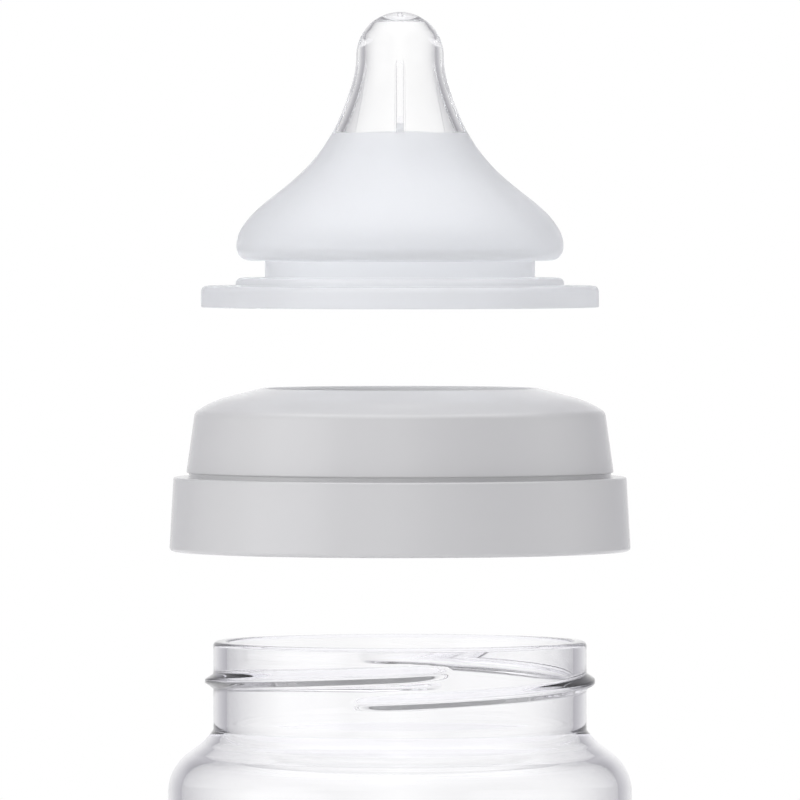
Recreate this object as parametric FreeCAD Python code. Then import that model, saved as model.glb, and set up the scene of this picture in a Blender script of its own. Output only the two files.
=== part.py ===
"""Wide-neck baby bottle: a clear plastic bottle, a screw collar and a one-piece silicone nipple.

Millimetres, +Z up. The origin is the centre of the ring that the bottle stands on. The three
mouldings hang apart on one axis, as they come apart for cleaning: the collar over the neck and the
nipple over the collar. Lowered by COLLAR_TRAVEL and NIPPLE_TRAVEL they are the assembled bottle.
"""

import FreeCAD
import Part
import math
import os

# Bottle. Depths are measured down from the rim.
BOTTLE_HEIGHT = 130.0
BODY_R = 31.35
NECK_R = 25.25
WALL = 1.8
NECK_END = 12.0  # depth at which the neck turns out into the shoulder
NECK_END_R = 0.4
NECK_END_INNER_R = 5.0  # the inside turns more gently than the outside
KNEE = (26.6, 13.6)  # radius and depth where the shoulder's slope flattens
KNEE_R = 3.0
SHOULDER_END = 17.05  # depth at which the shoulder's slope would meet the straight body
SHOULDER_R = 6.5
RIM_OUTER_ROUND = 0.6
RIM_INNER_ROUND = 0.4
HEEL_R = 7.0
STAND_R = 20.5  # inner radius of the standing ring
PUSH_UP = 3.0
FLOOR = 2.2

# Thread on the neck: each ridge is centred over +X or -X, and rises anticlockwise from above.
STARTS = 2
LEAD = 7.24
RIDGE_SWEEP = 208.0
RIDGE_DEPTH = 5.4  # of the crest at mid-length
RIDGE_OUT = 1.16
RIDGE_WIDTH = 2.35  # at its sunk foot
RIDGE_RUN_OUT = 15.0  # degrees over which each end fades into the wall
CREST = 0.7  # width of the ridge's flattened crest
CREST_PROUD = 0.02  # height left at the very end of a ridge
END_WIDTH = 0.7  # width left at the very end of a ridge, as a share of the whole
ROOT = 0.5  # how far the ridge is sunk into the wall

# Nipple. Heights are measured up from the flange's underside.
FLANGE_R = 26.9
FLANGE_T = 2.9
FLANGE_ROUND = 0.8
STEP_R = 22.2
STEP_TOP = 4.0
STEP_ROUND = 0.8
GROOVE_R = 18.25
GROOVE_TOP = 6.3
BULGE_R = 22.1
BULGE_Z = 8.4
BULGE_ROUND = 1.8
TIP_R = 5.9
TIP_Z = 34.0  # centre of the round tip
SKIRT = [(20.1, 12.4), (16.38, 15.6), (12.62, 18.9), (9.38, 23.2), (7.0, 28.6)]
BULGE_WALL = 2.0
BULGE_FLOOR = 1.6
TIP_WALL = 1.15
TIP_TOP_WALL = 1.35
CAVITY_TOP_R = 3.2
CAVITY_SHOULDER = 2.6
MOUTH_R = 16.4
RIBS = 4
RIB_THICKNESS = 0.9
RIB_FOOT = (6.15, 22.8)
RIB_SHOULDER = (4.45, 31.9)
RIB_HEAD_Z = 33.4
RIB_SINK = 0.4  # how far a rib is sunk into the wall
FEED_HOLE_R = 0.3
VENTS = 2
VENT_R = 0.4
VENT_CIRCLE_R = 20.6

# Collar. Heights are measured up from its lower edge.
COLLAR_HEIGHT = 22.1
BAND_LOW_R = 31.2
BAND_TOP_R = 30.63
LEDGE_Z = 10.0
SNAP_R = 28.55  # floor of the groove that a dust cap snaps into
SNAP_TOP = 10.6
TIER_LOW_R = 28.9
TIER_TOP_R = 27.75
TIER_TOP_Z = 18.8
TIER_TOP_ROUND = 1.2
DOME_R = 25.2
DOME_Z = 20.35
DOME_ROUND = 13.0
SKIRT_WALL = 1.05
BORE_R = 27.1
SLEEVE_WALL = 1.3
SLEEVE_LOW = 3.0
WEB_T = 1.4
INNER_RIDGE_SWEEP = 150.0
INNER_RIDGE_TIP_R = 26.55

# Fit and spacing.
GAP = 0.1
HOLE_R = GROOVE_R + GAP
COLLAR_LOW = 12.2  # the hanging collar's lower edge over the rim
NIPPLE_LOW = 45.15  # the hanging nipple's flange over the rim
SEAT_Z = COLLAR_HEIGHT - GROOVE_TOP + GAP / 2  # the seated flange's underside, in the collar
NIPPLE_TRAVEL = NIPPLE_LOW - COLLAR_LOW - SEAT_Z
COLLAR_TRAVEL = COLLAR_LOW + SEAT_Z - GAP / 2

ORIGIN = FreeCAD.Vector(0, 0, 0)
UP = FreeCAD.Vector(0, 0, 1)


def at(r, z):
    return FreeCAD.Vector(r, 0, z)


def line(a, b):
    return Part.LineSegment(at(*a), at(*b)).toShape()


def run(corners):
    """Edges through (r, z, rounding) corners. The first and the last corner stay sharp."""
    edges = []
    here = at(*corners[0][:2])
    for before, corner, after in zip(corners, corners[1:], corners[2:]):
        apex = at(*corner[:2])
        if len(corner) == 2:
            edges.append(Part.LineSegment(here, apex).toShape())
            here = apex
            continue
        back = (at(*before[:2]) - apex).normalize()
        on = (at(*after[:2]) - apex).normalize()
        half = back.getAngle(on) / 2
        inward = (back + on).normalize()
        centre = apex + inward * (corner[2] / math.sin(half))
        start = apex + back * (corner[2] / math.tan(half))
        end = apex + on * (corner[2] / math.tan(half))
        if here.distanceToPoint(start) > 1e-6:
            edges.append(Part.LineSegment(here, start).toShape())
        edges.append(Part.Arc(start, centre - inward * corner[2], end).toShape())
        here = end
    edges.append(Part.LineSegment(here, at(*corners[-1][:2])).toShape())
    return edges


def shallow_dome(edge_r, edge_z, rise):
    """The half section of a spherical dome: from its edge up to the axis."""
    dome_r = (edge_r**2 + rise**2) / (2 * rise)
    half = math.asin(edge_r / dome_r) / 2
    centre_z = edge_z + rise - dome_r
    middle = at(dome_r * math.sin(half), centre_z + dome_r * math.cos(half))
    return Part.Arc(at(edge_r, edge_z), middle, at(0, edge_z + rise)).toShape()


def revolve(edges):
    wire = Part.Wire(Part.__sortEdges__(edges))
    return Part.Face(wire).revolve(ORIGIN, UP, 360)


def ridge(root_r, tip_r, sweep, mid_z, turn):
    """One thread ridge on a cylindrical wall, sunk a little into it, fading out at both ends."""
    outward = math.copysign(1, tip_r - root_r)
    sections = []
    steps = 3 * math.ceil(sweep / RIDGE_RUN_OUT)
    for i in range(steps + 1):
        angle = sweep * (i / steps - 0.5)
        fade = min(1, (sweep / 2 - abs(angle)) / RIDGE_RUN_OUT)
        tall = math.sin(fade * math.pi / 2)
        reach = root_r + (tip_r - root_r) * tall + outward * CREST_PROUD
        wide = RIDGE_WIDTH / 2 * (END_WIDTH + (1 - END_WIDTH) * tall)
        mid = mid_z + LEAD * angle / 360
        foot = root_r - outward * ROOT
        crest = CREST / 2
        outline = [(foot, mid - wide), (reach, mid - crest), (reach, mid + crest), (foot, mid + wide)]
        wire = Part.makePolygon([at(r, z) for r, z in outline + outline[:1]])
        wire.rotate(ORIGIN, UP, angle + turn)
        sections.append(wire)
    return Part.makeLoft(sections, True, False)


def threads(root_r, tip_r, sweep, mid_z):
    return [ridge(root_r, tip_r, sweep, mid_z, 360 * i / STARTS) for i in range(STARTS)]


def inside_corner(before, corner, after):
    """Where the inside of the bottle's wall turns, next to a corner of its outside."""
    on = (at(*corner) - at(*before)).normalize()
    off = (at(*after) - at(*corner)).normalize()
    middle = (on + off).normalize()
    reach = WALL / middle.dot(on)
    return corner[0] - middle.z * reach, corner[1] + middle.x * reach


def bottle():
    rim = BOTTLE_HEIGHT
    heel = (BODY_R, 0)
    shoulder_end = (BODY_R, rim - SHOULDER_END)
    knee = (KNEE[0], rim - KNEE[1])
    neck_end = (NECK_R, rim - NECK_END)
    edge = (NECK_R, rim)
    base_dome = shallow_dome(STAND_R, 0, PUSH_UP)
    floor_dome = shallow_dome(STAND_R, FLOOR, PUSH_UP)
    outside = run([
        (STAND_R, 0),
        (*heel, HEEL_R),
        (*shoulder_end, SHOULDER_R),
        (*knee, KNEE_R),
        (*neck_end, NECK_END_R),
        (*edge, RIM_OUTER_ROUND),
        (NECK_R - WALL, rim, RIM_INNER_ROUND),
        (*inside_corner(knee, neck_end, edge), NECK_END_INNER_R),
        (*inside_corner(shoulder_end, knee, neck_end), KNEE_R + WALL),
        (*inside_corner(heel, shoulder_end, knee), SHOULDER_R - WALL),
        (BODY_R - WALL, FLOOR, HEEL_R - WALL),
        (STAND_R, FLOOR),
    ])
    axis = line((0, FLOOR + PUSH_UP), (0, PUSH_UP))
    body = revolve([base_dome, *outside, floor_dome, axis])
    return body.fuse(threads(NECK_R, NECK_R + RIDGE_OUT, RIDGE_SWEEP, rim - RIDGE_DEPTH))


def collar():
    pocket_z = SEAT_Z + FLANGE_T + GAP
    lip_z = SEAT_Z + STEP_TOP + GAP
    sleeve_r = BORE_R + SLEEVE_WALL
    web_z = LEDGE_Z - WEB_T
    start = (BORE_R, (SLEEVE_LOW + pocket_z) / 2)
    body = revolve(run([
        start,
        (BORE_R, SLEEVE_LOW, 0.3),
        (sleeve_r, SLEEVE_LOW, 0.3),
        (sleeve_r, web_z, 0.4),
        (BAND_TOP_R - SKIRT_WALL, web_z, 0.4),
        (BAND_LOW_R - SKIRT_WALL, 0, 0.3),
        (BAND_LOW_R, 0, 0.5),
        (BAND_TOP_R, LEDGE_Z, 0.3),
        (SNAP_R, LEDGE_Z),
        (SNAP_R, SNAP_TOP),
        (TIER_LOW_R, SNAP_TOP, 0.2),
        (TIER_TOP_R, TIER_TOP_Z, TIER_TOP_ROUND),
        (DOME_R, DOME_Z, DOME_ROUND),
        (HOLE_R, COLLAR_HEIGHT, 0.5),
        (HOLE_R, lip_z, 0.3),
        (STEP_R + GAP, lip_z, 0.3),
        (STEP_R + GAP, pocket_z),
        (BORE_R, pocket_z, 1.2),
        start,
    ]))
    low_under_neck = (LEAD / STARTS) / 2
    mid_z = SEAT_Z - RIDGE_DEPTH - low_under_neck
    body = body.fuse(threads(BORE_R, INNER_RIDGE_TIP_R, INNER_RIDGE_SWEEP, mid_z))
    body.translate(UP * (BOTTLE_HEIGHT + COLLAR_LOW))
    return body


def smooth(points):
    """A curve through the points that starts and ends parallel to the axis."""
    curve = Part.BSplineCurve()
    curve.interpolate([at(*p) for p in points], InitialTangent=UP, FinalTangent=UP, Scale=False)
    return curve


def inset(curve, point):
    """The point inside the nipple's wall, which thins from the bulge to the round tip."""
    height = (point[1] - BULGE_Z) / (TIP_Z - BULGE_Z)
    wall = TIP_WALL + (BULGE_WALL - TIP_WALL) * (1 - height) ** 2
    along = curve.tangent(curve.parameter(at(*point)))[0]
    inside = at(*point) - along.cross(FreeCAD.Vector(0, -1, 0)).normalize() * wall
    return inside.x, inside.z


def rib(foot_wall_r):
    """A fin on the stem's inner wall that keeps the stem from folding shut."""
    cavity_r = TIP_R - TIP_WALL
    outline = [
        RIB_FOOT,
        (foot_wall_r + RIB_SINK, RIB_FOOT[1]),
        (cavity_r + RIB_SINK, RIB_HEAD_Z),
        (cavity_r, RIB_HEAD_Z),
        RIB_SHOULDER,
        RIB_FOOT,
    ]
    face = Part.Face(Part.makePolygon([at(*p) for p in outline]))
    fin = face.extrude(FreeCAD.Vector(0, RIB_THICKNESS, 0))
    fin.translate(FreeCAD.Vector(0, -RIB_THICKNESS / 2, 0))
    return fin


def round_array(shape, count):
    copies = []
    for i in range(count):
        copy = shape.copy()
        copy.rotate(ORIGIN, UP, 360 * i / count)
        copies.append(copy)
    return copies


def nipple():
    skin = smooth([(BULGE_R, BULGE_Z), *SKIRT, (TIP_R, TIP_Z)])
    lining_points = [inset(skin, p) for p in [(BULGE_R, BULGE_Z), *SKIRT]]
    lining_points.append((TIP_R - TIP_WALL, TIP_Z))
    lining = smooth(lining_points)
    top = TIP_Z + TIP_R
    cavity_top = top - TIP_TOP_WALL
    bend = math.radians(45)
    round_tip = Part.Arc(
        at(TIP_R, TIP_Z), at(TIP_R * math.cos(bend), TIP_Z + TIP_R * math.sin(bend)), at(0, top)
    )
    outside = run([
        (MOUTH_R, 0),
        (FLANGE_R, 0, 0.15),
        (FLANGE_R, FLANGE_T, FLANGE_ROUND),
        (STEP_R, FLANGE_T),
        (STEP_R, STEP_TOP, STEP_ROUND),
        (GROOVE_R, STEP_TOP),
        (GROOVE_R, GROOVE_TOP),
        (BULGE_R, GROOVE_TOP, BULGE_ROUND),
        (BULGE_R, BULGE_Z),
    ])
    cavity = run([
        (0, cavity_top),
        (CAVITY_TOP_R, cavity_top, 0.9),
        (TIP_R - TIP_WALL, TIP_Z + CAVITY_SHOULDER, CAVITY_SHOULDER),
        (TIP_R - TIP_WALL, TIP_Z),
    ])
    widest_inside = lining_points[0]
    mouth = run([
        widest_inside,
        (widest_inside[0], GROOVE_TOP + BULGE_FLOOR, 0.4),
        (MOUTH_R, GROOVE_TOP + BULGE_FLOOR, 0.8),
        (MOUTH_R, 0),
    ])
    axis = line((0, cavity_top), (0, top))
    edges = [*outside, skin.toShape(), round_tip.toShape(), axis, *cavity, lining.toShape(), *mouth]
    body = revolve(edges)
    foot_level = Part.LineSegment(at(0, RIB_FOOT[1]), at(BULGE_R, RIB_FOOT[1]))
    foot_wall_r = lining.intersect(foot_level)[0].X
    body = body.fuse(round_array(rib(foot_wall_r), RIBS))
    feed_hole = Part.makeCylinder(FEED_HOLE_R, 2 * TIP_TOP_WALL, at(0, cavity_top - TIP_TOP_WALL / 2))
    vent = Part.makeCylinder(VENT_R, GROOVE_TOP - GAP, at(VENT_CIRCLE_R, -1))
    body = body.cut([feed_hole, *round_array(vent, VENTS)])
    body.translate(UP * (BOTTLE_HEIGHT + NIPPLE_LOW))
    return body


def only_solid(shape):
    solid = shape.Solids[0]
    assert len(shape.Solids) == 1 and solid.isValid()
    return solid


os.makedirs("parts", exist_ok=True)
for name, make in {"bottle": bottle, "collar": collar, "nipple": nipple}.items():
    piece = only_solid(make().removeSplitter())
    piece.exportStep(f"parts/{name}.step")
    print(name, round(piece.Volume / 1000, 2), "cm3")
print("collar travel", round(COLLAR_TRAVEL, 3), "nipple travel", round(NIPPLE_TRAVEL, 3))
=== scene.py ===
"""The looks of the baby bottle: clear bottle, satin collar and silicone nipple, hanging apart."""

import math

import bmesh
import bpy
import numpy as np
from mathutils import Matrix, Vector


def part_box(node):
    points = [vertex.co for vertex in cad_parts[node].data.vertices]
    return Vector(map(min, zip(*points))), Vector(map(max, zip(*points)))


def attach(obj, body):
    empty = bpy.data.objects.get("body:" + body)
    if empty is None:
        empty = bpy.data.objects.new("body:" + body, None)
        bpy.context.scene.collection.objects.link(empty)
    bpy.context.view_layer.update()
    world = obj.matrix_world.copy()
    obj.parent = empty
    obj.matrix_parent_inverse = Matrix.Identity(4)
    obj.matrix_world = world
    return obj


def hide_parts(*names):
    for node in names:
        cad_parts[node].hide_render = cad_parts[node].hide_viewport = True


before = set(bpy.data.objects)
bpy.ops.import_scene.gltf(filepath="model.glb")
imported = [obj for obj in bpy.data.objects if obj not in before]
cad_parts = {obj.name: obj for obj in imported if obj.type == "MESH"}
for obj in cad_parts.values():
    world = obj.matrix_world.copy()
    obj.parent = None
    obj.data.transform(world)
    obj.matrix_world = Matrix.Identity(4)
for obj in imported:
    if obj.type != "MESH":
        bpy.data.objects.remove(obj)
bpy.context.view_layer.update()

MM = 0.001

# Where the three pieces are at rest, in metres.
RIM_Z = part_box("bottle")[1][2]
COLLAR_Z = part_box("collar")[0][2]
NIPPLE_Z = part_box("nipple")[0][2]

# How fine the meshes are. Roundings take their share of the points of a full turn.
COLUMNS = 288
BOTTLE_TURN = 84
PART_TURN = 72
SMALLEST_ROUNDING = 0.06
SUPPORT = 0.12  # how far from a rounding's end the next ring is
SHORTEST_STRAIGHT = 12 * SUPPORT
LONGEST_STRAIGHT = 9.0

# Bottle, in millimetres. Depths are measured down from the rim.
BODY_R = 31.35
NECK_R = 25.25
WALL = 1.8
NECK_END = 12.0
NECK_END_R = 0.4
NECK_END_INNER_R = 5.0
KNEE = (26.6, 13.6)  # radius and depth where the neck's foot turns into the shoulder
KNEE_R = 3.0
SHOULDER_END = 17.05
SHOULDER_R = 6.5
RIM_OUTER_ROUND = 0.6
RIM_INNER_ROUND = 0.4
HEEL_R = 7.0
STAND_R = 20.5
PUSH_UP = 3.0
BASE_WALL = 2.2

# Thread.
STARTS = 2
LEAD = 7.24
RIDGE_SWEEP = 208.0  # degrees
RIDGE_DEPTH = 5.4
RIDGE_OUT = 1.16
RIDGE_HALF_BASE = 1.0
RIDGE_HALF_CREST = 0.28
RIDGE_RUN_OUT = 15.0  # degrees over which a ridge rises at each end
END_WIDTH = 0.7  # a ridge's width at its ends, as a share of its full width
RIDGE_SOFTNESS = 0.12
RIDGE_FOOT = -0.6  # where the softened foot of a ridge ends, in shares of its flank
NECK_BAND = (-10.2, -1.3)  # heights over the rim, between which the neck has its ridges

# Mesh rows over a ridge, by their distance from its crest, and closest together on its flanks.
RIDGE_ROWS = [1.6, 1.3, 1.16, 1.07, 1.0, 0.93, 0.84, 0.7, 0.56, 0.44, 0.35, 0.28, 0.2, 0.07]
ROW_GAP = 0.03  # a row that comes this near to the end of the threaded band is merged with it

# Raised volume marks on the body, one for every MARK_STEP millilitres.
MARK_STEP = 20
MARKS = range(40, 241, MARK_STEP)
LOST_VOLUME = 3.0  # millilitres that the domed floor and the round heel take up
MARK_PROUD = 0.35
MARK_HALF = 0.45
MARK_BEVEL = 0.2
MARK_END_BEVEL = 0.5
MARK_ROWS = [-0.5, -0.38, -0.22]  # from a mark's middle, and the same on its other side
MARK_MARGIN = 1  # from the outer marks' middles to the plain wall
MARK_LENGTHS = (11.0, 6.5)  # of every other mark
MARK_START = -104.0  # degrees round from +X

# Nipple. Heights are measured up from the flange's underside.
FLANGE_R = 26.9
FLANGE_T = 2.9
STEP_R = 22.2
STEP_TOP = 4.0
GROOVE_R = 18.25
GROOVE_TOP = 6.3
BULGE = (22.1, 8.4)  # radius and height where the bulb is widest
SKIRT = [(20.1, 12.4), (16.38, 15.6), (12.62, 18.9), (9.38, 23.2), (7.0, 28.6)]
TIP_R = 5.9
TIP_Z = 34.0
FROST_Z = 23.4
NIPPLE_EDGE_R = 0.15
BULGE_WALL = 2.0
BULGE_FLOOR = 1.6
TIP_WALL = 1.15
TIP_TOP_WALL = 1.35
CAVITY_TOP = (3.2, 0.9)  # the flat's radius, and the rounding at its edge
CAVITY_SHOULDER = 2.6
MOUTH_R = 16.4
RIB_HALF = 0.45
RIB_ACROSS = [0, 0.2, 0.36, 0.43, RIB_HALF, 0.46, 0.48]
RIB_FILLET = 0.1
RIB_CLEAR = 0.56  # where the bare wall's even columns begin
WALL_COLUMNS = 18  # between a rib and the diagonal
RIB_FOOT = (6.15, 22.8)
RIB_SHOULDER = (4.45, 31.9)
RIB_HEAD_Z = 33.4
RIB_END_R = 3  # nearer to the axis the cavity's roof is bare
BARE_R = 6.0  # where a bare ring has its columns in the same places as the ribs
FOOT_ROWS = [-0.02, 0.02, 0.12]  # rings at the ribs' feet
TIP_STEPS = 24
FEED_HOLE_R = 0.3
VENT_R = 0.4
VENT_CIRCLE_R = 20.6
VENT_COLUMNS = 24
VENT_REACH = 1  # how far a cut starts under the flange, and ends under the groove's upper face
SHARP_ANGLE = 40  # degrees

# Collar. Heights are measured up from its lower edge.
COLLAR_HEIGHT = 22.1
BAND_LOW_R = 31.2
BAND_TOP_R = 30.63
LEDGE_Z = 10.0
SNAP_R = 28.55
SNAP_TOP = 10.6
TIER_LOW_R = 28.9
TIER_TOP = (27.75, 18.8)
DOME = (25.2, 20.35)
HOLE_R = 18.35
FIT_GAP = 0.1
SKIRT_WALL = 1.05
BORE_R = 27.1
SLEEVE_R = 28.4
SLEEVE_LOW = 3.0
WEB_Z = 8.6
SEAT_Z = 15.85
INNER_RIDGE_SWEEP = 150.0
INNER_RIDGE_IN = 1.6
COLLAR_BAND = (SLEEVE_LOW + 0.5, SEAT_Z - 1.0)  # heights between which the bore has its ridges

# Stage, in millimetres.
STAGE_R = 1200
STAGE_COLUMNS = 96

# Camera: places in metres, the lens in millimetres.
CAMERA_DISTANCE = 1.55
CAMERA_ABOVE_RIM = 0.0619
TARGET_ABOVE_RIM = 0.0326
SENSOR_WIDTH = 36
FOCAL_LENGTH = 516
VIEW_END = 50

# The sky: how much it dims on the diagonals, and between which heights it dims from what to what.
DIAGONAL_DIM = 0.55
DIAGONAL_POWER = 1.25
SKY_DIM = (0.1, 0.34, 1.0, 0.7)
HALF_LIGHT = (0.49, 0.485, 0.515, 1)

# Soft lights in the sky: direction, cosines where each begins and is full, and strength.
OVERHEAD = ((0, 0, 1), 0.6, 0.95, 1.2)
FRONT_LEFT = ((-0.5, -0.7, 0.5), 0.6, 0.96, 0.35)
LEFT = ((-0.87, -0.5, 0.1), 0.86, 0.98, 0.8)
WHITE = (1, 1, 1, 1)
BLACK = (0, 0, 0, 1)


# ---------------------------------------------------------------- outlines

def rounded(corners, per_turn):
    """Points through (r, z, rounding) corners, with a close pair of points at each end of a straight."""
    points = [np.array(corners[0][:2], float)]
    for before, corner, after in zip(corners, corners[1:], corners[2:]):
        apex = np.array(corner[:2], float)
        radius = corner[2] if len(corner) > 2 else SMALLEST_ROUNDING
        back = np.array(before[:2]) - apex
        on = np.array(after[:2]) - apex
        back /= np.linalg.norm(back)
        on /= np.linalg.norm(on)
        half = math.acos(max(-1, min(1, back @ on))) / 2
        inward = (back + on) / np.linalg.norm(back + on)
        centre = apex + inward * radius / math.sin(half)
        turn = math.pi - 2 * half
        fineness = per_turn * min(1, 0.35 + radius / 4)  # small roundings get fewer points
        steps = max(3, math.ceil(turn / (2 * math.pi) * fineness))
        first = apex + back * radius / math.tan(half) - centre
        last = apex + on * radius / math.tan(half) - centre
        for i in range(steps + 1):
            t = i / steps
            ray = (math.sin((1 - t) * turn) * first + math.sin(t * turn) * last) / math.sin(turn)
            points.append(centre + ray)
    points.append(np.array(corners[-1][:2], float))
    return supported(points)


def supported(points):
    """Adds points along the straights so that smooth shading stays inside the rounded stretches."""
    out = [points[0]]
    for a, b in zip(points, points[1:]):
        span = np.linalg.norm(b - a)
        if span < 1e-9:
            continue
        if span > SHORTEST_STRAIGHT:
            inner = max(1, math.ceil((span - 2 * SUPPORT) / LONGEST_STRAIGHT))
            stops = [SUPPORT + (span - 2 * SUPPORT) * i / inner for i in range(inner + 1)]
            out.extend(a + (b - a) * s / span for s in stops)
        out.append(b)
    return out


def spline(points, per_span=14):
    """A C2 curve through the points that starts and ends parallel to the axis, and its tangents."""
    p = np.array(points, float)
    h = np.linalg.norm(np.diff(p, axis=0), axis=1)
    n = len(p)
    left = np.zeros((n, n))
    right = np.zeros((n, 2))
    left[0, 0] = left[-1, -1] = 1
    right[0] = right[-1] = (0, 1)
    for i in range(1, n - 1):
        left[i, i - 1] = 1 / h[i - 1]
        left[i, i] = 2 / h[i - 1] + 2 / h[i]
        left[i, i + 1] = 1 / h[i]
        right[i] = 3 * ((p[i] - p[i - 1]) / h[i - 1] ** 2 + (p[i + 1] - p[i]) / h[i] ** 2)
    slope = np.linalg.solve(left, right)
    out = []
    for i in range(n - 1):
        for k in range(per_span + (i == n - 2)):
            t = k / per_span
            out.append(
                p[i] * (1 + 2 * t) * (1 - t) ** 2
                + slope[i] * h[i] * t * (1 - t) ** 2
                + p[i + 1] * t * t * (3 - 2 * t)
                + slope[i + 1] * h[i] * t * t * (t - 1)
            )
    return out, slope


def arc(centre, radius, start, end, steps):
    """Points of an arc between two angles, given in degrees."""
    angles = [math.radians(start + (end - start) * i / steps) for i in range(steps + 1)]
    return [np.array((centre[0] + radius * math.cos(a), centre[1] + radius * math.sin(a))) for a in angles]


def shallow_dome(edge_r, edge_z, rise, steps=12):
    """From the axis out to the edge of a spherical dome, without the point on the axis."""
    dome_r = (edge_r**2 + rise**2) / (2 * rise)
    centre_z = edge_z + rise - dome_r
    radii = [edge_r * i / steps for i in range(1, steps)]
    return [np.array((r, centre_z + math.sqrt(dome_r**2 - r * r))) for r in radii]


# ---------------------------------------------------------------- meshes

class Skin:
    """A surface made of rings of points, in millimetres above a base height."""

    def __init__(self, base_z):
        self.base_z = base_z
        self.points = []
        self.faces = []

    def ring(self, coordinates):
        """Adds points, and returns their numbers in order."""
        first = len(self.points)
        self.points.extend(coordinates)
        return list(range(first, len(self.points)))

    def round_ring(self, r, z, columns):
        """A circle about the axis, with a point at each of the columns' angles."""
        return self.ring([(r * math.cos(a), r * math.sin(a), z) for a in columns])

    def bridge(self, low, high):
        """Joins two rings with a band of faces, or closes a ring on a single point."""
        count = max(len(low), len(high))
        for j in range(count):
            k = (j + 1) % count
            corners = [low[j % len(low)], low[k % len(low)], high[k % len(high)], high[j % len(high)]]
            self.face(corners)

    def face(self, corners):
        """Adds a face without its repeated corners, if it still has an area."""
        unique = [c for i, c in enumerate(corners) if c != corners[i - 1]]
        if len(set(unique)) > 2:
            self.faces.append(unique)

    def helix_zone(self, low, high, z_low, z_high, radius, mid_z, columns):
        """A band whose rows climb with the thread, so that rows lie along each ridge's flanks."""
        pitch = LEAD / STARTS
        rows = [-r for r in RIDGE_ROWS] + RIDGE_ROWS[::-1]
        per_lead = STARTS * len(rows)
        table = []
        lowest = math.floor((z_low - mid_z - LEAD) / pitch) - 1
        highest = math.ceil((z_high - mid_z) / pitch) + 1
        levels = [mid_z + pitch * k + r for k in range(lowest, highest + 1) for r in rows]
        for j, angle in enumerate(columns):
            column = []
            for level in levels:
                z = level + LEAD * angle / (2 * math.pi)
                if z <= z_low + ROW_GAP:
                    column.append(low[j])
                elif z >= z_high - ROW_GAP:
                    column.append(high[j])
                else:
                    r = radius(angle, z)
                    column.append(len(self.points))
                    self.points.append((r * math.cos(angle), r * math.sin(angle), z))
            table.append(column)
        table.append(table[0][per_lead:] + [high[0]] * per_lead)
        for here, there in zip(table, table[1:]):
            for m in range(len(levels) - 1):
                self.face([here[m], there[m], there[m + 1], here[m + 1]])

    def build(self, name):
        """Makes the Blender object, in metres."""
        mesh = bpy.data.meshes.new(name)
        vertices = [(x * MM, y * MM, z * MM + self.base_z) for x, y, z in self.points]
        mesh.from_pydata(vertices, [], self.faces)
        mesh.validate()
        mesh.shade_smooth()
        piece = bpy.data.objects.new(name, mesh)
        bpy.context.scene.collection.objects.link(piece)
        return piece


def even_columns(count):
    """Angles of evenly spaced columns, in radians."""
    return [2 * math.pi * i / count for i in range(count)]


def outward(piece):
    """Turns every face of a closed piece outwards."""
    work = bmesh.new()
    work.from_mesh(piece.data)
    bmesh.ops.recalc_face_normals(work, faces=work.faces)
    work.to_mesh(piece.data)
    work.free()


def ridge_height(angle, z, mid_z, sweep):
    """How high the thread stands at a place on the wall, from 0 to 1."""
    def soft(x):
        return 0.5 * (x + math.hypot(x, RIDGE_SOFTNESS))

    best = 0
    for start in range(STARTS):
        local = math.degrees(angle) - 360 * start / STARTS
        local = (local + 180) % 360 - 180
        fade = (sweep / 2 - abs(local)) / RIDGE_RUN_OUT
        if fade <= 0:
            continue
        tall = math.sin(min(1, fade) * math.pi / 2)
        away = abs(z - mid_z - LEAD * local / 360) / (END_WIDTH + (1 - END_WIDTH) * tall)
        rise = (RIDGE_HALF_BASE - away) / (RIDGE_HALF_BASE - RIDGE_HALF_CREST)
        if rise > RIDGE_FOOT:
            best = max(best, tall * (soft(rise) - soft(rise - 1)))
    return best


# ---------------------------------------------------------------- bottle

def inside_corner(before, corner, after):
    """Where the inside of the bottle's wall turns, next to a corner of its outside."""
    on = np.subtract(corner, before) / math.dist(corner, before)
    off = np.subtract(after, corner) / math.dist(after, corner)
    middle = (on + off) / np.linalg.norm(on + off)
    reach = WALL / (middle @ on)
    return corner[0] - middle[1] * reach, corner[1] + middle[0] * reach


def mark_levels():
    """Each volume mark's height over the base and its length."""
    area = math.pi * (BODY_R - WALL) ** 2 / 1000
    lengths = {volume: MARK_LENGTHS[volume // MARK_STEP % 2] for volume in MARKS}
    return [(BASE_WALL + (volume + LOST_VOLUME) / area, lengths[volume]) for volume in MARKS]


def mark_height(angle, z, base):
    """How far a volume mark stands out at a place on the body."""
    from_start = (angle - math.radians(MARK_START)) % (2 * math.pi) * BODY_R
    for level, length in mark_levels():
        away = abs(z - base - level)
        if away < MARK_HALF and from_start < length:
            from_side = (MARK_HALF - away) / MARK_BEVEL
            from_end = min(from_start, length - from_start) / MARK_END_BEVEL
            return MARK_PROUD * math.sin(min(1, from_side, from_end) * math.pi / 2)
    return 0


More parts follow.
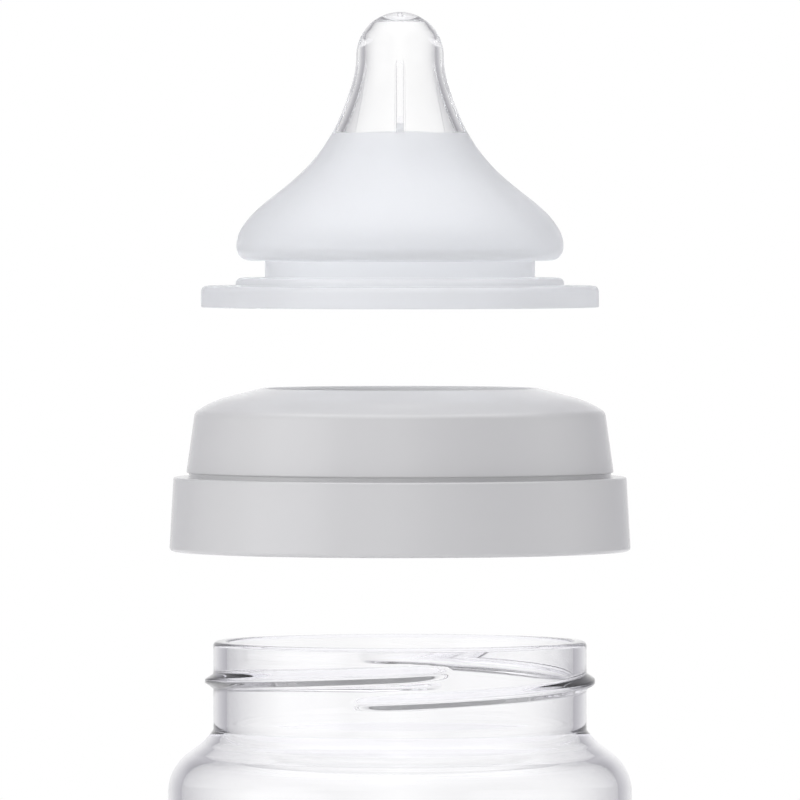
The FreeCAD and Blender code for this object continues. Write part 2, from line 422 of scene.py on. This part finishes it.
def bottle_mesh():
    """The clear vessel, in rings from the middle of its foot up the outside and down the inside."""
    columns = even_columns(COLUMNS)
    base = -RIM_Z / MM
    band_low, band_high = NECK_BAND
    heel = (BODY_R, base)
    shoulder_end = (BODY_R, -SHOULDER_END)
    knee = (KNEE[0], -KNEE[1])
    neck_end = (NECK_R, -NECK_END)
    edge = (NECK_R, 0)
    levels = [level for level, _ in mark_levels()]
    mark_low = base + levels[0] - MARK_MARGIN
    mark_high = base + levels[-1] + MARK_MARGIN
    marked = []
    for level in levels:
        marked += [(BODY_R, base + level + offset) for offset in MARK_ROWS]
        marked += [(BODY_R, base + level - offset) for offset in MARK_ROWS[::-1]]
    outside = shallow_dome(STAND_R, base, PUSH_UP) + rounded([
        (STAND_R, base),
        (*heel, HEEL_R),
        (BODY_R, mark_low),
    ], BOTTLE_TURN) + marked[1:-1] + rounded([
        (BODY_R, mark_high),
        (*shoulder_end, SHOULDER_R),
        (*knee, KNEE_R),
        (*neck_end, NECK_END_R),
        (NECK_R, band_low),
    ], BOTTLE_TURN)
    inside = rounded([
        (NECK_R, band_high),
        (*edge, RIM_OUTER_ROUND),
        (NECK_R - WALL, 0, RIM_INNER_ROUND),
        (*inside_corner(knee, neck_end, edge), NECK_END_INNER_R),
        (*inside_corner(shoulder_end, knee, neck_end), KNEE_R + WALL),
        (*inside_corner(heel, shoulder_end, knee), SHOULDER_R - WALL),
        (BODY_R - WALL, base + BASE_WALL, HEEL_R - WALL),
        (STAND_R, base + BASE_WALL),
    ], BOTTLE_TURN) + shallow_dome(STAND_R, base + BASE_WALL, PUSH_UP)[::-1]
    skin = Skin(RIM_Z)
    rings = [skin.ring([(0, 0, base + PUSH_UP)])]
    for r, z in outside:
        proud = [mark_height(a, z, base) if mark_low < z < mark_high else 0 for a in columns]
        spokes = [r + p for p in proud]
        rings.append(skin.ring([(s * math.cos(a), s * math.sin(a), z) for s, a in zip(spokes, columns)]))
    upper = [skin.round_ring(r, z, columns) for r, z in inside]
    upper.append(skin.ring([(0, 0, base + BASE_WALL + PUSH_UP)]))
    for low, high in [*zip(rings, rings[1:]), *zip(upper, upper[1:])]:
        skin.bridge(low, high)

    def radius(angle, z):
        return NECK_R + RIDGE_OUT * ridge_height(angle, z, -RIDGE_DEPTH, RIDGE_SWEEP)

    skin.helix_zone(rings[-1], upper[0], band_low, band_high, radius, -RIDGE_DEPTH, columns)
    piece = skin.build("clear_bottle")
    outward(piece)
    return piece


# ---------------------------------------------------------------- collar

def collar_mesh():
    """The screw ring, in rings from its inner sleeve round the outside and back to its bore."""
    columns = even_columns(COLUMNS)
    band_low, band_high = COLLAR_BAND
    ledge_top = SEAT_Z + STEP_TOP + FIT_GAP
    pocket_top = SEAT_Z + FLANGE_T + FIT_GAP
    mid_z = SEAT_Z - RIDGE_DEPTH - LEAD / STARTS / 2
    outline = rounded([
        (BORE_R, band_low),
        (BORE_R, SLEEVE_LOW, 0.3),
        (SLEEVE_R, SLEEVE_LOW, 0.3),
        (SLEEVE_R, WEB_Z, 0.4),
        (BAND_TOP_R - SKIRT_WALL, WEB_Z, 0.4),
        (BAND_LOW_R - SKIRT_WALL, 0, 0.3),
        (BAND_LOW_R, 0, 0.5),
        (BAND_TOP_R, LEDGE_Z, 0.3),
        (SNAP_R, LEDGE_Z, 0.1),
        (SNAP_R, SNAP_TOP, 0.1),
        (TIER_LOW_R, SNAP_TOP, 0.2),
        (*TIER_TOP, 1.2),
        (*DOME, 13.0),
        (HOLE_R, COLLAR_HEIGHT, 0.4),
        (HOLE_R, ledge_top, 0.3),
        (STEP_R + FIT_GAP, ledge_top, 0.3),
        (STEP_R + FIT_GAP, pocket_top, 0.1),
        (BORE_R, pocket_top, 1.2),
        (BORE_R, band_high),
    ], PART_TURN)
    skin = Skin(COLLAR_Z)
    rings = [skin.round_ring(r, z, columns) for r, z in outline]
    for low, high in zip(rings, rings[1:]):
        skin.bridge(low, high)

    def radius(angle, z):
        return BORE_R - INNER_RIDGE_IN * ridge_height(angle, z, mid_z, INNER_RIDGE_SWEEP)

    skin.helix_zone(rings[0], rings[-1], band_low, band_high, radius, mid_z, columns)
    piece = skin.build("screw_collar")
    outward(piece)
    return piece


# ---------------------------------------------------------------- nipple

def rib_columns(wall_r, face_r):
    """Points of an eighth of the inner wall: half a rib, then the bare wall up to 45 degrees."""
    def on_wall(y):
        return math.sqrt(wall_r**2 - y * y)

    foot = on_wall(RIB_HALF)
    if face_r and face_r < foot:
        fillet = min(RIB_FILLET, 0.3 * (foot - face_r))
        face = [face_r, face_r, face_r, face_r + 0.3 * fillet]
        side = [face_r + fillet, foot - fillet, foot - 0.3 * fillet]
        points = list(zip(face + side, RIB_ACROSS))
    else:
        points = [(on_wall(y), y) for y in RIB_ACROSS]
    start = math.asin(RIB_CLEAR / wall_r)
    for i in range(WALL_COLUMNS + 1):
        a = start + (math.pi / 4 - start) * i / WALL_COLUMNS
        points.append((wall_r * math.cos(a), wall_r * math.sin(a)))
    return points


def full_turn(eighth):
    """Mirrors and turns an eighth into a whole ring with a rib on each axis."""
    quarter = eighth[:-1] + [(y, x) for x, y in reversed(eighth[1:])]
    ring = []
    for k in range(4):
        c, s = [(1, 0), (0, 1), (-1, 0), (0, -1)][k]
        ring += [(x * c - y * s, x * s + y * c) for x, y in quarter]
    return ring


def nipple_mesh():
    """The nipple, in rings from its underside up the outside, in at the feed hole and down the lining."""
    skin_points, slope = spline([BULGE, *SKIRT, (TIP_R, TIP_Z)])
    lining = []
    for (r, z), (dr, dz) in zip([BULGE, *SKIRT], slope):
        height = (z - BULGE[1]) / (TIP_Z - BULGE[1])
        wall = TIP_WALL + (BULGE_WALL - TIP_WALL) * (1 - height) ** 2
        size = math.hypot(dr, dz)
        lining.append((r - wall * dz / size, z + wall * dr / size))
    lining.append((TIP_R - TIP_WALL, TIP_Z))
    lining_points, _ = spline(lining)
    top = TIP_Z + TIP_R
    cavity_top = top - TIP_TOP_WALL
    hole_angle = math.degrees(math.acos(FEED_HOLE_R / TIP_R))
    outside = rounded([
        (MOUTH_R + 1, 0),
        (FLANGE_R, 0, NIPPLE_EDGE_R),
        (FLANGE_R, FLANGE_T, 0.8),
        (STEP_R, FLANGE_T, NIPPLE_EDGE_R),
        (STEP_R, STEP_TOP, 0.8),
        (GROOVE_R, STEP_TOP, NIPPLE_EDGE_R),
        (GROOVE_R, GROOVE_TOP, NIPPLE_EDGE_R),
        (BULGE[0], GROOVE_TOP, 1.8),
        BULGE,
    ], PART_TURN)
    outside += skin_points[1:]
    outside += arc((0, TIP_Z), TIP_R, 0, hole_angle, TIP_STEPS)[1:]
    inside = rounded([
        outside[-1],
        (FEED_HOLE_R, cavity_top, 0.1),
        (CAVITY_TOP[0], cavity_top, CAVITY_TOP[1]),
        (TIP_R - TIP_WALL, TIP_Z + CAVITY_SHOULDER, CAVITY_SHOULDER),
        (TIP_R - TIP_WALL, TIP_Z),
    ], PART_TURN)[1:]
    inside += refined(lining_points[::-1][1:])
    inside += rounded([
        lining[0],
        (lining[0][0], GROOVE_TOP + BULGE_FLOOR, 0.4),
        (MOUTH_R, GROOVE_TOP + BULGE_FLOOR, 0.8),
        (MOUTH_R, 0, NIPPLE_EDGE_R),
        (MOUTH_R + 1, 0),
    ], PART_TURN)[1:-1]
    skin = Skin(NIPPLE_Z)
    rings = []
    for r, z in outside:
        rings.append(skin.ring([(x, y, z) for x, y in full_turn(plain_columns(r))]))
    for r, z in inside:
        face_r = rib_face(z) if r > RIB_END_R else None
        eighth = rib_columns(r, face_r) if face_r and r > face_r else plain_columns(r)
        rings.append(skin.ring([(x, y, z) for x, y in full_turn(eighth)]))
    for low, high in zip(rings, rings[1:] + rings[:1]):
        skin.bridge(low, high)
    piece = skin.build("silicone_nipple")
    outward(piece)
    drill_vents(piece)
    for face in piece.data.polygons:
        face.material_index = 0 if (face.center.z - NIPPLE_Z) / MM > FROST_Z else 1
    return piece


def drill_vents(piece):
    """Cuts the air holes that open into the groove, one on each side."""
    pins = []
    heights = (-VENT_REACH, GROOVE_TOP - VENT_REACH)
    for side in (1, -1):
        skin = Skin(NIPPLE_Z)
        centre = side * VENT_CIRCLE_R
        circle = [(centre + VENT_R * math.cos(a), VENT_R * math.sin(a)) for a in even_columns(VENT_COLUMNS)]
        ends = [skin.ring([(centre, 0, z)]) for z in heights]
        rings = [skin.ring([(x, y, z) for x, y in circle]) for z in heights]
        for low, high in zip([ends[0], *rings], [*rings, ends[1]]):
            skin.bridge(low, high)
        pins.append(skin.build("vent_pin"))
        outward(pins[-1])
        hole = piece.modifiers.new("vent", "BOOLEAN")
        hole.solver = "EXACT"
        hole.object = pins[-1]
    drilled = piece.evaluated_get(bpy.context.evaluated_depsgraph_get())
    mesh = bpy.data.meshes.new_from_object(drilled)
    mesh.set_sharp_from_angle(angle=math.radians(SHARP_ANGLE))
    piece.modifiers.clear()
    piece.data = mesh
    for pin in pins:
        bpy.data.objects.remove(pin)


def refined(points):
    """The lining's points, from the top down, with more rows at the ribs' feet."""
    out = []
    heights = [RIB_FOOT[1] + row for row in reversed(FOOT_ROWS)]
    for a, b in zip(points, points[1:]):
        out.append(a)
        for height in heights:
            if b[1] < height < a[1]:
                t = (a[1] - height) / (a[1] - b[1])
                out.append(a + (b - a) * t)
    out.append(points[-1])
    return out


def plain_columns(r):
    """An eighth of a bare ring, with as many points as one with ribs."""
    return [(r * x / BARE_R, r * y / BARE_R) for x, y in rib_columns(BARE_R, None)]


def rib_face(z):
    """How far from the axis the ribs' inner edges are at a height, if there are ribs there."""
    if not RIB_FOOT[1] < z < RIB_HEAD_Z:
        return None
    low, high = RIB_FOOT, RIB_SHOULDER
    if z > RIB_SHOULDER[1]:
        low, high = RIB_SHOULDER, (TIP_R - TIP_WALL, RIB_HEAD_Z)
    return low[0] + (high[0] - low[0]) * (z - low[1]) / (high[1] - low[1])


# ---------------------------------------------------------------- materials

def material(name):
    """A new material, its node tree and its shader."""
    made = bpy.data.materials.new(name)
    made.use_nodes = True
    tree = made.node_tree
    shader = tree.nodes["Principled BSDF"]
    return made, tree, shader


def link_noise(tree, shader, scale, low, high):
    """Roughness that varies a little over the surface."""
    place = tree.nodes.new("ShaderNodeTexCoord")
    noise = tree.nodes.new("ShaderNodeTexNoise")
    noise.inputs["Scale"].default_value = scale
    noise.inputs["Detail"].default_value = 4.0
    span = tree.nodes.new("ShaderNodeMapRange")
    span.inputs["To Min"].default_value = low
    span.inputs["To Max"].default_value = high
    tree.links.new(place.outputs["Object"], noise.inputs["Vector"])
    tree.links.new(noise.outputs["Fac"], span.inputs["Value"])
    tree.links.new(span.outputs["Result"], shader.inputs["Roughness"])
    return noise


def clear_plastic():
    """Glossy clear moulding with a faint violet tint, deeper where more wall is looked through."""
    made, tree, shader = material("clear_bottle_plastic")
    shader.inputs["Base Color"].default_value = WHITE
    shader.inputs["IOR"].default_value = 1.5
    shader.inputs["Transmission Weight"].default_value = 1
    link_noise(tree, shader, 60, 0.0, 0.03)
    absorb = tree.nodes.new("ShaderNodeVolumeAbsorption")
    absorb.inputs["Color"].default_value = (0.55, 0.52, 0.75, 1)
    absorb.inputs["Density"].default_value = 12
    tree.links.new(absorb.outputs["Volume"], tree.nodes["Material Output"].inputs["Volume"])
    return made


def clear_silicone():
    """The stem's clear silicone, with an index of refraction low enough to keep its thin edges pale."""
    made, tree, shader = material("clear_silicone")
    shader.inputs["Base Color"].default_value = WHITE
    shader.inputs["IOR"].default_value = 1.3
    shader.inputs["Transmission Weight"].default_value = 1
    link_noise(tree, shader, 80, 0.04, 0.09)
    return made


def frosted_silicone():
    """The satin, milky silicone of the bulb and flange."""
    made, tree, shader = material("frosted_silicone")
    shader.inputs["Base Color"].default_value = (0.84, 0.85, 0.862, 1)
    shader.inputs["IOR"].default_value = 1.41
    shader.inputs["Transmission Weight"].default_value = 0.65
    link_noise(tree, shader, 900, 0.34, 0.44)
    return made


def collar_plastic():
    """Satin grey polypropylene with a fine moulded grain under a faint gloss."""
    made, tree, shader = material("satin_grey_plastic")
    shader.inputs["Base Color"].default_value = (0.61, 0.61, 0.612, 1)
    shader.inputs["Coat Weight"].default_value = 0.7
    shader.inputs["Coat Roughness"].default_value = 0.14
    noise = link_noise(tree, shader, 1500, 0.28, 0.36)
    bump = tree.nodes.new("ShaderNodeBump")
    bump.inputs["Strength"].default_value = 0.08
    bump.inputs["Distance"].default_value = 0.00005
    tree.links.new(noise.outputs["Fac"], bump.inputs["Height"])
    tree.links.new(bump.outputs["Normal"], shader.inputs["Normal"])
    return made


# ---------------------------------------------------------------- stage

def studio():
    """A bright horizon that dims between the four sides and above, with soft panels of light in the sky."""
    world = bpy.data.worlds.new("studio")
    bpy.context.scene.world = world
    world.use_nodes = True
    tree = world.node_tree
    tree.nodes.clear()

    def node(kind, **settings):
        """A new node with its settings."""
        made = tree.nodes.new(kind)
        for key, value in settings.items():
            setattr(made, key, value)
        return made

    def feed(made, *values):
        """Sets or links a node's inputs in order, and returns its first output."""
        for socket, value in zip(made.inputs, values):
            if isinstance(value, (int, float, tuple)):
                socket.default_value = value
            else:
                tree.links.new(value, socket)
        return made.outputs[0]

    def maths(operation, *values):
        return feed(node("ShaderNodeMath", operation=operation), *values)

    def ease(value, low, high, start, end):
        """Goes smoothly from start to end while the value goes from low to high."""
        return feed(node("ShaderNodeMapRange", interpolation_type="SMOOTHSTEP"), value, low, high, start, end)

    direction = node("ShaderNodeTexCoord").outputs["Generated"]
    split = node("ShaderNodeSeparateXYZ")
    tree.links.new(direction, split.inputs[0])
    x, y, z = split.outputs
    flat = maths("ADD", maths("MULTIPLY", x, x), maths("MULTIPLY", y, y))
    diagonal = maths("ABSOLUTE", maths("DIVIDE", maths("MULTIPLY", maths("MULTIPLY", x, y), 2.0), flat))
    dimming = maths("MULTIPLY", maths("POWER", diagonal, DIAGONAL_POWER), DIAGONAL_DIM)
    around = maths("SUBTRACT", 1.0, dimming)
    level = maths("MULTIPLY", around, ease(z, *SKY_DIM))
    tint = node("ShaderNodeValToRGB")
    tint.color_ramp.elements[0].color = BLACK
    tint.color_ramp.elements[1].color = WHITE
    tint.color_ramp.elements.new(0.5).color = HALF_LIGHT
    tree.links.new(level, tint.inputs[0])
    shell = node("ShaderNodeBackground")
    tree.links.new(tint.outputs[0], shell.inputs["Color"])
    total = shell.outputs[0]

    def add(strength):
        """Adds white light to the sky."""
        nonlocal total
        glow = node("ShaderNodeBackground")
        glow.inputs["Color"].default_value = WHITE
        tree.links.new(strength, glow.inputs["Strength"])
        both = node("ShaderNodeAddShader")
        tree.links.new(total, both.inputs[0])
        tree.links.new(glow.outputs[0], both.inputs[1])
        total = both.outputs[0]

    def panel(toward, low, high, strength):
        """Adds a soft round light in one direction."""
        aim = node("ShaderNodeVectorMath", operation="DOT_PRODUCT")
        tree.links.new(direction, aim.inputs[0])
        aim.inputs[1].default_value = Vector(toward).normalized()
        add(ease(aim.outputs["Value"], low, high, 0.0, strength))

    for light in (OVERHEAD, FRONT_LEFT, LEFT):
        panel(*light)
    backdrop = node("ShaderNodeBackground")
    backdrop.inputs["Color"].default_value = WHITE
    path = node("ShaderNodeLightPath")
    choose = node("ShaderNodeMixShader")
    tree.links.new(path.outputs["Is Camera Ray"], choose.inputs[0])
    tree.links.new(total, choose.inputs[1])
    tree.links.new(backdrop.outputs[0], choose.inputs[2])
    tree.links.new(choose.outputs[0], node("ShaderNodeOutputWorld").inputs[0])


def floor():
    """A plain pale disc under the bottle."""
    skin = Skin(0)
    middle = skin.ring([(0, 0, 0)])
    edge = skin.round_ring(STAGE_R, 0, even_columns(STAGE_COLUMNS))
    skin.bridge(middle, edge)
    piece = skin.build("pale_floor")
    made, tree, shader = material("pale_floor_paint")
    shader.inputs["Base Color"].default_value = (0.96, 0.96, 0.96, 1)
    link_noise(tree, shader, 20, 0.55, 0.65)
    piece.data.materials.append(made)


def camera():
    """A long lens, level with the nipple's bulb and looking slightly down."""
    lens = bpy.data.cameras.new("photo_camera")
    lens.sensor_width = SENSOR_WIDTH
    lens.lens = FOCAL_LENGTH
    lens.clip_end = VIEW_END
    holder = bpy.data.objects.new("photo_camera", lens)
    place = Vector((0, -CAMERA_DISTANCE, RIM_Z + CAMERA_ABOVE_RIM))
    target = Vector((0, 0, RIM_Z + TARGET_ABOVE_RIM))
    holder.location = place
    holder.rotation_euler = (target - place).to_track_quat("-Z", "Y").to_euler()
    bpy.context.scene.collection.objects.link(holder)
    bpy.context.scene.camera = holder


def dress(piece, body, slot, *materials):
    """Gives a piece its materials and puts it on its body, in place of the plain solid."""
    for made in materials:
        piece.data.materials.append(made)
    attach(piece, body)
    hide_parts(body)


bpy.context.scene.view_settings.view_transform = "Standard"
paths = bpy.context.scene.cycles
paths.max_bounces = 24
paths.glossy_bounces = 12
paths.transmission_bounces = 24
studio()
floor()
camera()
bottle = bottle_mesh()
bottle.visible_shadow = False
nipple = nipple_mesh()
nipple.visible_shadow = False
dress(bottle, "bottle", "clear_plastic", clear_plastic())
dress(collar_mesh(), "collar", "grey_plastic", collar_plastic())
dress(nipple, "nipple", "silicone", clear_silicone(), frosted_silicone())
